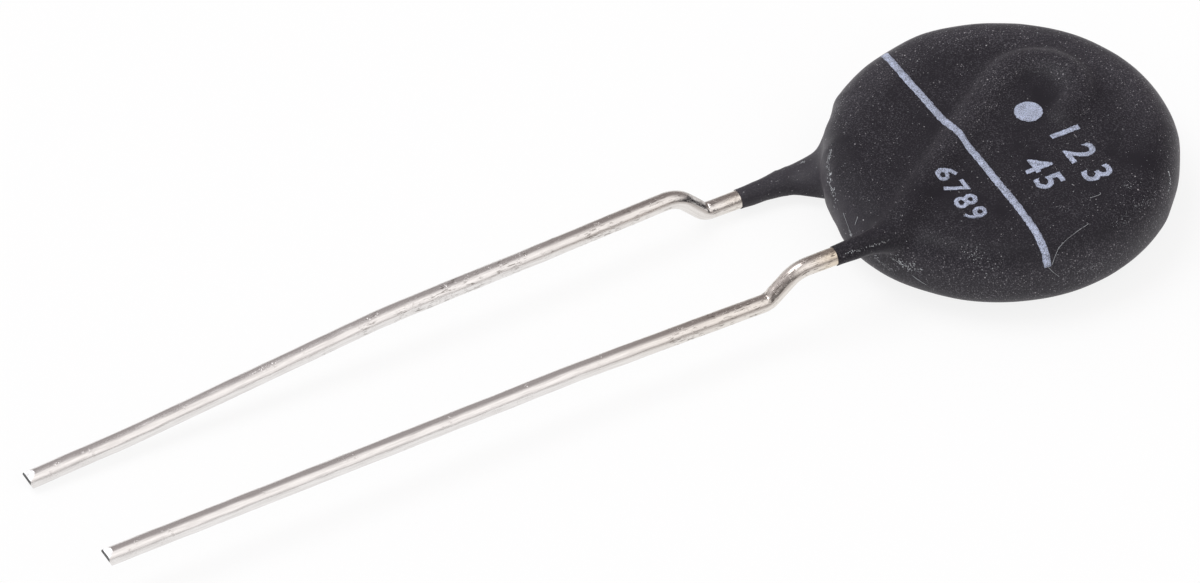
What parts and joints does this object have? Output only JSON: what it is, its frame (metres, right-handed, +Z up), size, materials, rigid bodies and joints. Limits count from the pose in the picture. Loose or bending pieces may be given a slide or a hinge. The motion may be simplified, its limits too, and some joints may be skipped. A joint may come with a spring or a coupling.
{
  "type": "ntc thermistor",
  "caption": "Disc thermistor: a silvered ceramic disc with a wire soldered across each face, dipped in black coating, both wires leaving side by side with a step bend and a bare tip",
  "frame": {"origin": "middle of the part's bounding box in plan, at the level of its lowest point, the ridge over the back wire, which it rests on", "axes": "+X runs along the wires from their tips to the disc, +Y runs across the disc from the front wire to the back wire, +Z is up, out of the front face of the disc"},
  "size_m": [0.0532, 0.0158, 0.0041],
  "materials": {
    "dipped_coating": "matte black dipped phenolic coating with fine pale dust",
    "sintered_ceramic": "dark grey sintered oxide, matte",
    "fired_silver": "fired silver paste, satin",
    "solder": "reflowed tin solder, satin",
    "tinned_wire": "bright tinned copper wire with drawn lines and small pits"
  },
  "bodies": {
    "root": {"coating": "dipped_coating", "ceramic_disc": "sintered_ceramic", "front_electrode": "fired_silver", "back_electrode": "fired_silver", "front_solder": "solder", "back_solder": "solder", "front_lead": "tinned_wire", "back_lead": "tinned_wire"}
  },
  "joints": []
}
